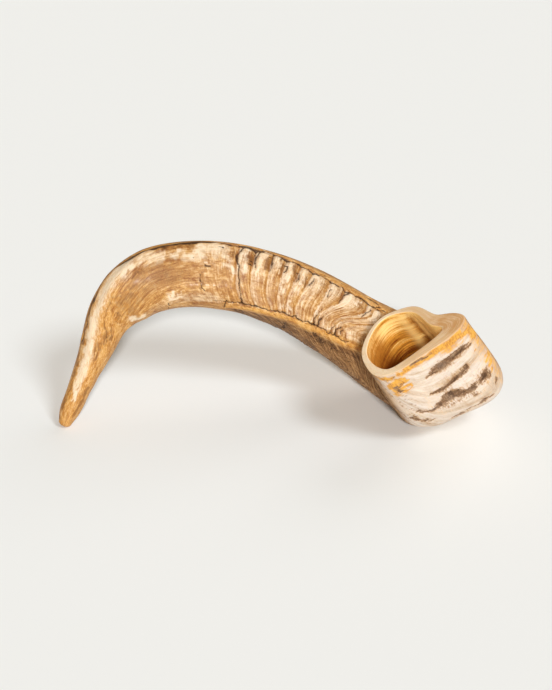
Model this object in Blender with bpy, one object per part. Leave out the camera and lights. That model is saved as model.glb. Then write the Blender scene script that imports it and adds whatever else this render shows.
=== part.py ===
"""A ram horn: one hollow keratin sheath, sawn and polished at its mouth, lying on its tip and its heel."""
import bpy
import bmesh
import numpy as np
from mathutils import Vector

for old in list(bpy.data.objects):
    bpy.data.objects.remove(old, do_unlink=True)

# driving dimensions, millimetres
wallDeep = 5.6
hollowEnd = 172.0
tipRound = 3.6
ridgeDepth = 1.5
keelRise = 1.3
keelGroove = 1.1
aroundCount = 36

# outlines across the horn: (toward the crest, toward the side face) in half widths
# 0 crest, 2 first keel, 3 to 5 side face, 6 second keel, 8 lower edge, 9 to 11 back face
outlines = {
    "tip": [(1.0, -.10), (.97, .26), (.80, .58), (.46, .80), (.0, .93), (-.48, .84),
            (-.84, .52), (-.99, .05), (-.84, -.50), (-.45, -.84), (.10, -.95), (.66, -.70)],
    "slim": [(1.0, -.12), (.98, .18), (.86, .46), (.46, .68), (.0, .80), (-.46, .80),
             (-.84, .50), (-.98, .02), (-.82, -.48), (-.40, -.76), (.15, -.80), (.68, -.60)],
    "arch": [(1.0, -.10), (.97, .14), (.91, .34), (.50, .58), (.02, .70), (-.44, .74),
             (-.82, .46), (-.98, -.02), (-.80, -.48), (-.38, -.70), (.18, -.73), (.70, -.56)],
    "body": [(1.0, -.14), (.98, .10), (.92, .28), (.56, .50), (.18, .64), (-.20, .72),
             (-.58, .74), (-.90, .20), (-.90, -.34), (-.50, -.68), (.12, -.73), (.68, -.56)],
    "limb": [(1.0, -.18), (.96, .08), (.84, .26), (.54, .48), (.22, .62), (-.10, .71),
             (-.42, .76), (-.86, .38), (-.97, -.16), (-.60, -.62), (.05, -.73), (.66, -.58)],
    "neck": [(1.0, -.22), (.95, .06), (.78, .28), (.54, .46), (.30, .58), (.08, .68),
             (-.16, .76), (-.70, .54), (-.94, -.03), (-.67, -.54), (.0, -.72), (.66, -.62)],
    "curl": [(1.0, -.34), (.93, -.02), (.74, .16), (.52, .34), (.26, .48), (-.06, .58),
             (-.42, .60), (-.78, .31), (-.89, -.18), (-.56, -.62), (.04, -.78), (.70, -.76)],
    "heel": [(1.05, -.56), (.93, -.12), (.70, .10), (.46, .36), (.12, .54), (-.36, .62),
             (-.82, .41), (-.98, .0), (-.93, -.44), (-.54, -.73), (.02, -.85), (.70, -.91)],
    "mouth": [(1.05, -.50), (.86, -.16), (.63, .06), (.46, .50), (.12, .75), (-.35, .83),
              (-.87, .48), (-1.03, .02), (-.95, -.43), (-.52, -.65), (.0, -.68), (.62, -.71)],
}

# the hollow's outline at the mouth, in the same half widths: thick at the crest corner and at the fold
boreAtMouth = [(.57, -.38), (.46, -.16), (.40, .09), (.33, .42), (.06, .67), (-.33, .75),
               (-.77, .43), (-.90, .02), (-.78, -.36), (-.50, -.48), (-.04, -.49), (.36, -.47)]

# stations from tip to mouth: centre, half width, direction of the crest, outline, twist in degrees
stations = [
    ((-155.7, .2, 4.4), 5.3, (-.921, .195, .338), "tip", 94),
    ((-153.3, 2.9, 10.0), 7.4, (-.921, .195, .338), "tip", 94),
    ((-148.8, 6.8, 19.2), 8.6, (-.921, .195, .338), "tip", 94),
    ((-140.0, 14.6, 38.7), 10.5, (-.921, .195, .338), "tip", 86),
    ((-131.5, 21.8, 57.0), 13.7, (-.906, .211, .366), "tip", 74),
    ((-122.8, 29.5, 76.6), 18.1, (-.849, .265, .458), "slim", 52),
    ((-109.2, 32.7, 92.4), 22.3, (-.707, .354, .612), "slim", 32),
    ((-89.3, 36.0, 103.7), 24.1, (-.419, .454, .786), "arch", 12),
    ((-68.0, 38.0, 107.2), 24.4, (-.090, .498, .863), "arch", 2),
    ((-38.5, 39.5, 105.3), 25.1, (.200, .490, .849), "arch", 0),
    ((.7, 41.2, 92.2), 26.1, (.370, .465, .805), "body", 0),
    ((35.3, 45.3, 71.4), 27.4, (.471, .441, .764), "limb", 0),
    ((61.2, 48.0, 50.8), 29.7, (.522, .427, .739), "neck", 0),
    ((81.5, 48.3, 36.0), 32.6, (.600, .400, .693), "neck", 0),
    ((102.0, 38.6, 27.0), 35.7, (.717, .349, .604), "curl", 0),
    ((115.9, 15.3, 33.9), 37.6, (.813, .291, .504), "heel", 0),
    ((118.1, -4.4, 45.7), 38.5, (.834, .276, .478), "heel", 0),
    ((111.6, -16.5, 61.8), 38.0, (.834, .276, .478), "mouth", 0),
    ((102.7, -23.1, 78.5), 37.3, (.834, .276, .478), "mouth", 0),
    ((93.7, -28.8, 95.2), 36.6, (.834, .276, .478), "mouth", 0),
]

# deep creases between the growth ridges, as distance along the axis from the tip
creases = [185.0, 197.5, 207.5, 216.5, 226.5, 237.0, 249.0, 259.5, 277.0, 294.0]
# shallow creases on the outside of the curl
curlCreases = [372.0, 387.0, 402.0, 417.0, 433.0]


def spline(knots, values, at):
    """Natural cubic curve through the values."""
    knots = np.asarray(knots, float)
    values = np.asarray(values, float).reshape(len(knots), -1)
    count = len(knots)
    gap = np.diff(knots)
    system = np.eye(count)
    right = np.zeros_like(values)
    for i in range(1, count - 1):
        system[i, i - 1:i + 2] = gap[i - 1], 2 * (gap[i - 1] + gap[i]), gap[i]
        right[i] = 6 * ((values[i + 1] - values[i]) / gap[i] - (values[i] - values[i - 1]) / gap[i - 1])
    bend = np.linalg.solve(system, right)
    return readSpline(knots, values, bend, at)


def loopSpline(values, at):
    """Closed cubic curve through evenly numbered points."""
    values = np.asarray(values, float)
    count = len(values)
    system = 4 * np.eye(count) + np.roll(np.eye(count), 1, 0) + np.roll(np.eye(count), -1, 0)
    right = 6 * (np.roll(values, -1, 0) - 2 * values + np.roll(values, 1, 0))
    bend = np.linalg.solve(system, right)
    closed = np.vstack([values, values[:1]])
    return readSpline(np.arange(count + 1.0), closed, np.vstack([bend, bend[:1]]), np.mod(at, count))


def readSpline(knots, values, bend, at):
    at = np.atleast_1d(np.asarray(at, float))
    k = np.clip(np.searchsorted(knots, at, side="right") - 1, 0, len(knots) - 2)
    gap = (knots[k + 1] - knots[k])[:, None]
    x = (knots[k + 1] - at)[:, None] / gap
    y = 1 - x
    curved = ((x ** 3 - x) * bend[k] + (y ** 3 - y) * bend[k + 1]) * gap ** 2 / 6
    return x * values[k] + y * values[k + 1] + curved


def turned(outline, degrees):
    a = np.radians(degrees)
    p = np.array(outline)
    return np.stack([p[:, 0] * np.cos(a) - p[:, 1] * np.sin(a), p[:, 0] * np.sin(a) + p[:, 1] * np.cos(a)], 1)


def bump(x, middle, width):
    return np.exp(-((x - middle) / width) ** 2)


def smooth(x, low, high):
    t = np.clip((x - low) / (high - low), 0, 1)
    return t * t * (3 - 2 * t)


centres = np.array([s[0] for s in stations])
marks = np.concatenate([[0], np.cumsum(np.linalg.norm(np.diff(centres, axis=0), axis=1))])
length = marks[-1]
controls = np.array([turned(outlines[s[3]], s[4]) for s in stations]).reshape(len(stations), -1)


def frameAt(s):
    """Centre, half width and the three directions of the cross section at a distance from the tip."""
    c = spline(marks, centres, s)[0]
    step = .5
    t = (spline(marks, centres, s + step) - spline(marks, centres, s - step))[0]
    t /= np.linalg.norm(t)
    crest = spline(marks, [q[2] for q in stations], s)[0]
    crest -= t * (crest @ t)
    crest /= np.linalg.norm(crest)
    half = spline(marks, [q[1] for q in stations], s)[0, 0]
    return c, half, t, crest, np.cross(t, crest)


def outlineAt(s):
    return np.array([np.interp(s, marks, controls[:, i]) for i in range(24)]).reshape(12, 2)


def relief(s, u):
    """Height of ridges, keels and pits over the plain surface, mm."""
    fade = 1 - smooth(s, length - 16, length - 3)
    side = smooth(u, 1.9, 2.3) * (1 - smooth(u, 6.1, 7.2))
    toward = .45 + .55 * bump(u, 2.3, 1.1) + .25 * bump(u, 5.6, .7)
    out = np.zeros_like(u)
    for n, crease in enumerate(creases):
        deep = 1.0 if n else 1.15
        out -= ridgeDepth * deep * side * toward * np.exp(-abs(s - crease) / 1.5)
    between = smooth(s, 180, 200) * (1 - smooth(s, 300, 330))
    out += .35 * ridgeDepth * side * toward * between
    back = smooth(u, 7.6, 8.6) * (1 - smooth(u, 11.2, 12.0))
    for crease in curlCreases:
        out -= .7 * back * np.exp(-abs(s - crease) / 2.2)
    # a scalloped strip stands along the first keel, with a groove under it
    strip = smooth(s, 60, 110) * (1 - smooth(s, 305, 335))
    scallop = 1 + .3 * np.sin(s * .55) * smooth(s, 170, 200)
    out += strip * scallop * .7 * keelRise * bump(u, 1.62, .30)
    out -= strip * keelGroove * bump(u, 2.12, .16)
    # the second keel begins with a step and runs to the curl
    second = smooth(s, 178, 188) * (1 - smooth(s, 318, 345))
    out += second * keelRise * bump(u, 6.0, .28)
    out -= second * .7 * keelGroove * bump(u, 6.55, .22)
    return out * fade


def ring(s, u, lift=None):
    """Points of one closed ring on the outside."""
    c, half, t, crest, out = frameAt(s)
    pts = loopSpline(outlineAt(s), u)
    ahead = loopSpline(outlineAt(s), u + .02) - loopSpline(outlineAt(s), u - .02)
    normal = np.stack([ahead[:, 1], -ahead[:, 0]], 1)
    normal /= np.linalg.norm(normal, axis=1)[:, None]
    if normal[0] @ pts[0] < 0:
        normal = -normal
    lift = relief(s, u) if lift is None else lift
    flat = pts * half + normal * np.asarray(lift)[..., None]
    return c + flat[:, :1] * crest + flat[:, 1:] * out


def boreRing(s, u):
    """Points of one ring of the hollow: its own outline at the mouth, an even wall further in."""
    c, half, t, crest, out = frameAt(s)
    share = smooth(s, length - 60, length)
    close = np.sqrt(max(0.0, 1 - ((length - s) / (length - hollowEnd)) ** 8))
    inner = c + (ring(s, u, np.zeros(len(u))) - c) * (1 - wallDeep / half) * close
    own = loopSpline(boreAtMouth, u) * half
    mouthward = c + own[:, :1] * crest + own[:, 1:] * out
    return inner * (1 - share) + mouthward * share


around = np.sort(np.concatenate([np.arange(aroundCount) * 12 / aroundCount, [1.83, 2.15, 5.83, 6.17]]))
along = [2.0, 5.0, 9.5]
along += list(np.arange(16.0, 178.0, 7.4))
edges = creases + [303.0]
for a, b in zip(edges[:-1], edges[1:]):
    along += [a - 1.6, a, a + 1.7, (a + b) / 2]
along += list(np.arange(303.0, 360.0, 6.0))
for a in curlCreases:
    along += [a - 7.5, a - 2.2, a, a + 2.2]
along += [length - 10, length - 4, length]
along = np.array(sorted(along))

rings = []
tipCentre, tipHalf, tipAxis, tipCrest, tipOut = frameAt(0.0)
for a in (35, 65):
    shrink = np.sin(np.radians(a))
    base = ring(0.0, around)
    rings.append(tipCentre + (base - tipCentre) * shrink - tipAxis * tipRound * np.cos(np.radians(a)))
rings.append(ring(0.0, around))
rings += [ring(s, around) for s in along]
rimIndex = len(rings) - 1
depths = [length, length - 3, length - 12, length - 24, length - 38, length - 52, length - 66, length - 80]
depths += list(np.arange(length - 95, hollowEnd + 16, -15.0)) + [hollowEnd + 9, hollowEnd + 4, hollowEnd + 1.2]
rings += [boreRing(s, around) for s in depths]
boreEnd = frameAt(hollowEnd)[0]

# the lowest point of the tip sets the ground, and the heel is worn flat where it lies
ground = min(r[:, 2].min() for r in rings[:6])
everything = np.vstack(rings[:rimIndex + 1])
shift = np.array([(everything[:, 0].min() + everything[:, 0].max()) / 2,
                  (everything[:, 1].min() + everything[:, 1].max()) / 2, ground])


def placed(p):
    q = np.asarray(p) - shift
    q[..., 2] = np.maximum(q[..., 2], 0)
    return q / 1000


bm = bmesh.new()
made = bmesh.ops.create_circle(bm, cap_ends=True, cap_tris=True, segments=len(around), radius=.001)
middle = max(made["verts"], key=lambda v: len(v.link_edges))
middle.co = Vector(placed(tipCentre - tipAxis * tipRound))
loop = [v for v in made["verts"] if v is not middle]
loop.sort(key=lambda v: np.arctan2(v.co.y, v.co.x) % (2 * np.pi))
for v, p in zip(loop, placed(rings[0])):
    v.co = Vector(p)
for points in rings[1:]:
    rim = [e for e in bm.edges if e.is_boundary]
    grown = bmesh.ops.extrude_edge_only(bm, edges=rim)["geom"]
    fresh = {g for g in grown if isinstance(g, bmesh.types.BMVert)}
    loop = [next(e.other_vert(v) for e in v.link_edges if e.other_vert(v) in fresh) for v in loop]
    for v, p in zip(loop, placed(points)):
        v.co = Vector(p)
rim = [e for e in bm.edges if e.is_boundary]
grown = bmesh.ops.extrude_edge_only(bm, edges=rim)["geom"]
last = [g for g in grown if isinstance(g, bmesh.types.BMVert)]
bmesh.ops.pointmerge(bm, verts=last, merge_co=Vector(placed(boreEnd)))
bmesh.ops.recalc_face_normals(bm, faces=bm.faces)
for f in bm.faces:
    f.smooth = True
mesh = bpy.data.meshes.new("horn")
bm.to_mesh(mesh)
bm.free()

keratin = bpy.data.materials.new("keratin")
keratin.use_nodes = True
shader = keratin.node_tree.nodes["Principled BSDF"]
shader.inputs["Base Color"].default_value = (.62, .43, .24, 1)
shader.inputs["Roughness"].default_value = .38
mesh.materials.append(keratin)
horn = bpy.data.objects.new("horn", mesh)
bpy.context.scene.collection.objects.link(horn)
print("triangles", sum(len(p.vertices) - 2 for p in mesh.polygons), "shift", shift.round(3), "length", round(length, 2))
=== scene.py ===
from types import SimpleNamespace
import bpy
import bmesh
import numpy as np
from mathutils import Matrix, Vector


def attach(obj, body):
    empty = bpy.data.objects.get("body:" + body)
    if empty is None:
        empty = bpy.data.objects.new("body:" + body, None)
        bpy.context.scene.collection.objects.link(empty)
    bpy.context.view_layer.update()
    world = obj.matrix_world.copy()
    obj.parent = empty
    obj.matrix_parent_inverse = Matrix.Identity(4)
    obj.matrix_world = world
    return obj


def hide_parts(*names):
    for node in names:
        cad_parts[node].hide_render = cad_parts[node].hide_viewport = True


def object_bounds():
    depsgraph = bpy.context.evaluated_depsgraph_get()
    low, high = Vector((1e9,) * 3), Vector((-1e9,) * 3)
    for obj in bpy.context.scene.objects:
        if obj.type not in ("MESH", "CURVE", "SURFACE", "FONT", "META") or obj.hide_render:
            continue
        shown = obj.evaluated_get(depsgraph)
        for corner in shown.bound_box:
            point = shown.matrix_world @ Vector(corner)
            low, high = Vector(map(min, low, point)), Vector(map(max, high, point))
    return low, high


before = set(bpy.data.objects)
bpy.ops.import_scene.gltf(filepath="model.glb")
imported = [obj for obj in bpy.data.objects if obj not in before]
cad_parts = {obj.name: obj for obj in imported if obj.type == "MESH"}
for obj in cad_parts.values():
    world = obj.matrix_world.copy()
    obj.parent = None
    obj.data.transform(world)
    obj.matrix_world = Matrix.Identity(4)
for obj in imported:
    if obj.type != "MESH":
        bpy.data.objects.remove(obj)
cadLow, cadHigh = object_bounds()
print("frame loaded")

metre = 1000  # millimetres
placeCount = 12  # places round each outline

# outlines across the horn: (toward the crest, toward the side face) in half widths
# 0 crest, 2 first keel, 3 to 5 side face, 6 second keel, 8 lower edge, 9 to 11 back face
outlines = {
    "tip": [(1.0, -.10), (.97, .26), (.80, .58), (.46, .80), (.0, .93), (-.48, .84),
            (-.84, .52), (-.99, .05), (-.84, -.50), (-.45, -.84), (.10, -.95), (.66, -.70)],
    "slim": [(1.0, -.12), (.98, .18), (.86, .46), (.46, .68), (.0, .80), (-.46, .80),
             (-.84, .50), (-.98, .02), (-.82, -.48), (-.40, -.76), (.15, -.80), (.68, -.60)],
    "arch": [(1.0, -.10), (.97, .14), (.91, .34), (.50, .58), (.02, .70), (-.44, .74),
             (-.82, .46), (-.98, -.02), (-.80, -.48), (-.38, -.70), (.18, -.73), (.70, -.56)],
    "body": [(1.0, -.14), (.98, .10), (.92, .28), (.56, .50), (.18, .64), (-.20, .72),
             (-.58, .74), (-.90, .20), (-.90, -.34), (-.50, -.68), (.12, -.73), (.68, -.56)],
    "limb": [(1.0, -.18), (.96, .08), (.84, .26), (.54, .48), (.22, .62), (-.10, .71),
             (-.42, .76), (-.86, .38), (-.97, -.16), (-.60, -.62), (.05, -.73), (.66, -.58)],
    "neck": [(1.0, -.22), (.95, .06), (.78, .28), (.54, .46), (.30, .58), (.08, .68),
             (-.16, .76), (-.70, .54), (-.94, -.03), (-.67, -.54), (.0, -.72), (.66, -.62)],
    "curl": [(1.0, -.34), (.93, -.02), (.74, .16), (.52, .34), (.26, .48), (-.06, .58),
             (-.42, .60), (-.78, .31), (-.89, -.18), (-.56, -.62), (.04, -.78), (.70, -.76)],
    "heel": [(1.05, -.56), (.93, -.12), (.70, .10), (.46, .36), (.12, .54), (-.36, .62),
             (-.82, .41), (-.98, .0), (-.93, -.44), (-.54, -.73), (.02, -.85), (.70, -.91)],
    "mouth": [(1.05, -.50), (.86, -.16), (.63, .06), (.46, .50), (.12, .75), (-.35, .83),
              (-.87, .48), (-1.03, .02), (-.95, -.43), (-.52, -.65), (.0, -.68), (.62, -.71)],
}

crestAtTip = (-.921, .195, .338)
crestAtMouth = (.834, .276, .478)

# stations from tip to mouth, millimetres: centre, half width, direction of the crest, outline, twist in degrees
stations = [
    ((-155.7, .2, 4.4), 5.3, crestAtTip, "tip", 94),
    ((-153.3, 2.9, 10.0), 7.4, crestAtTip, "tip", 94),
    ((-148.8, 6.8, 19.2), 8.6, crestAtTip, "tip", 94),
    ((-140.0, 14.6, 38.7), 10.5, crestAtTip, "tip", 86),
    ((-131.5, 21.8, 57.0), 13.7, (-.906, .211, .366), "tip", 74),
    ((-122.8, 29.5, 76.6), 18.1, (-.849, .265, .458), "slim", 52),
    ((-109.2, 32.7, 92.4), 22.3, (-.707, .354, .612), "slim", 32),
    ((-89.3, 36.0, 103.7), 24.1, (-.419, .454, .786), "arch", 12),
    ((-68.0, 38.0, 107.2), 24.4, (-.090, .498, .863), "arch", 2),
    ((-38.5, 39.5, 105.3), 25.1, (.200, .490, .849), "arch", 0),
    ((.7, 41.2, 92.2), 26.1, (.370, .465, .805), "body", 0),
    ((35.3, 45.3, 71.4), 27.4, (.471, .441, .764), "limb", 0),
    ((61.2, 48.0, 50.8), 29.7, (.522, .427, .739), "neck", 0),
    ((81.5, 48.3, 36.0), 32.6, (.600, .400, .693), "neck", 0),
    ((102.0, 38.6, 27.0), 35.7, (.717, .349, .604), "curl", 0),
    ((115.9, 15.3, 33.9), 37.6, (.813, .291, .504), "heel", 0),
    ((118.1, -4.4, 45.7), 38.5, crestAtMouth, "heel", 0),
    ((111.6, -16.5, 61.8), 38.0, crestAtMouth, "mouth", 0),
    ((102.7, -23.1, 78.5), 37.3, crestAtMouth, "mouth", 0),
    ((93.7, -28.8, 95.2), 36.6, crestAtMouth, "mouth", 0),
]

hornShape = {
    "boreAtMouth": [(.57, -.38), (.46, -.16), (.40, .09), (.33, .42), (.06, .67), (-.33, .75),
                    (-.77, .43), (-.90, .02), (-.78, -.36), (-.50, -.48), (-.04, -.49), (.36, -.47)],
    "toFrame": (2.344, 9.85, .30),  # from the stations' origin to the part's
    "wallDeep": 5.6,
    "hollowEnd": 172.0,
    "wallChange": 60,  # the wall takes its shape at the mouth over this length
    "foldPlace": 3.5,
    "foldWidth": .16,
    "foldHeight": .9,
    "groovePlace": 3.9,
    "grooveWidth": .3,
    "tipRound": 3.6,
    "tipAngles": (2, 12, 24, 36, 48, 60, 74),
    "aroundCount": 148,
    "keelCrowding": 2.2,
    "outerSteps": [(0, 120, 1.5), (120, 180, 1.1), (180, 300, .62), (300, 380, 1.4)],  # from, to, row step
    "mouthStep": .62,
    "boreSteps": (1.5, 4.0),  # row steps in the hollow near the mouth and beyond it
    "boreNear": 90,
    "boreFar": 190,  # from here its rows lie closer again
    "boreEndRows": [186, 182, 178, 175, 173, 172.3],
    "lastRow": .5,  # before the mouth, as is the next
    "firstBoreRow": 1.2,
    "rimRound": .45,
    "rimRowCount": 7,
    "insideBox": .02,  # how far the skin stays inside the solid's box
    "weld": 1e-7,  # metres
}

# growth ridges: where each begins beside the first keel, how far its lower end lies toward the mouth,
# and how dark its crease is there, in the middle and at the lower end
growthRidges = [
    (187, 10, .9, .6, .65), (198, 8.5, .95, .40, .5), (209.5, 7.5, .8, .32, .35), (219, 3.5, .7, .22, .3),
    (229, -1.5, .85, .36, .3), (238.5, -3.5, .6, .22, .4), (253, -2.5, .5, .12, .6), (266, -12, .85, .2, .9),
    (285.5, -19.5, .75, .18, .7), (292, -22, 0, 0, .9), (304, -26, .3, .12, .3),
]

# before the first ridge and after the last: distance from the tip, how far the lower end lies toward the mouth
slantBefore = [(0, 8), (130, 9)]
slantAfter = [(345, -14), (400, 8), (470, 8)]

# the under face's growth lines run ahead toward the mouth, by place round the horn, millimetres
underAhead = [(0, 0), (2, 0), (5.9, 0), (6.24, 3), (6.6, 12), (7.14, 27), (7.45, 36), (7.9, 29), (8.35, 15),
              (8.7, 7), (9.2, 0), (12, 0)]

# how high and how deep the relief is, millimetres
ridges = {
    "creaseDepth": 1.6,
    "swell": 1.4,
    "keelRise": .75,
    "keelGroove": 1.0,
    "bandRise": .95,
    "growthLine": .30,
    "sideWave": .20,
    "dashDepth": .5,
    "streakRise": .5,
    "underDepth": .8,
    "curlWave": .7,
    "curlLine": .22,
    "roughDepth": .55,
    "bunchDepth": .55,
    "lumps": .30,
    "sinkAll": .15,
    "lastEnd": 318,  # along the horn, where the last growth ridge ends
}

# where a field rises to full and where it fades again: millimetres along the horn, places round it
# or shares of a growth ridge
zones = {
    "sideFace": (1.95, 2.25, 5.85, 6.05),
    "lowSide": (4.9, 5.5, 5.9, 6.1),
    "slantBack": (2.7, 5.3, 8, 9.4),
    "backFace": (8.3, 9.2, 11.3, 12),
    "brownSide": (2.5, 3.0, 4.2, 5.0),
    "ridgedRelief": (180, 190, 300, 330),
    "ridgedColour": (185, 188, 285, 320),
    "band": (182, 185, 318, 345),
    "strip": (112, 136, 325, 350),
    "paleArch": (90, 120, 178, 186),
    "paleLimb": (225, 262, 325, 345),
    "brownArch": (90, 104, 140, 172),
    "brownCrest": (120, 135, 182, 190),
    "brownLimb": (186, 192, 330, 360),
    "faceEdge": (11, 11.3, 11.75, 12),
    "tickShare": (.35, .6, .9, 1),
    "leftRim": (3.2, 4.6, 8.4, 9.6),
    "leftWall": (4.9, 5.6, 8.6, 9.6),
    "foldReach": (395, 412, 446, 456),
}

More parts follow.
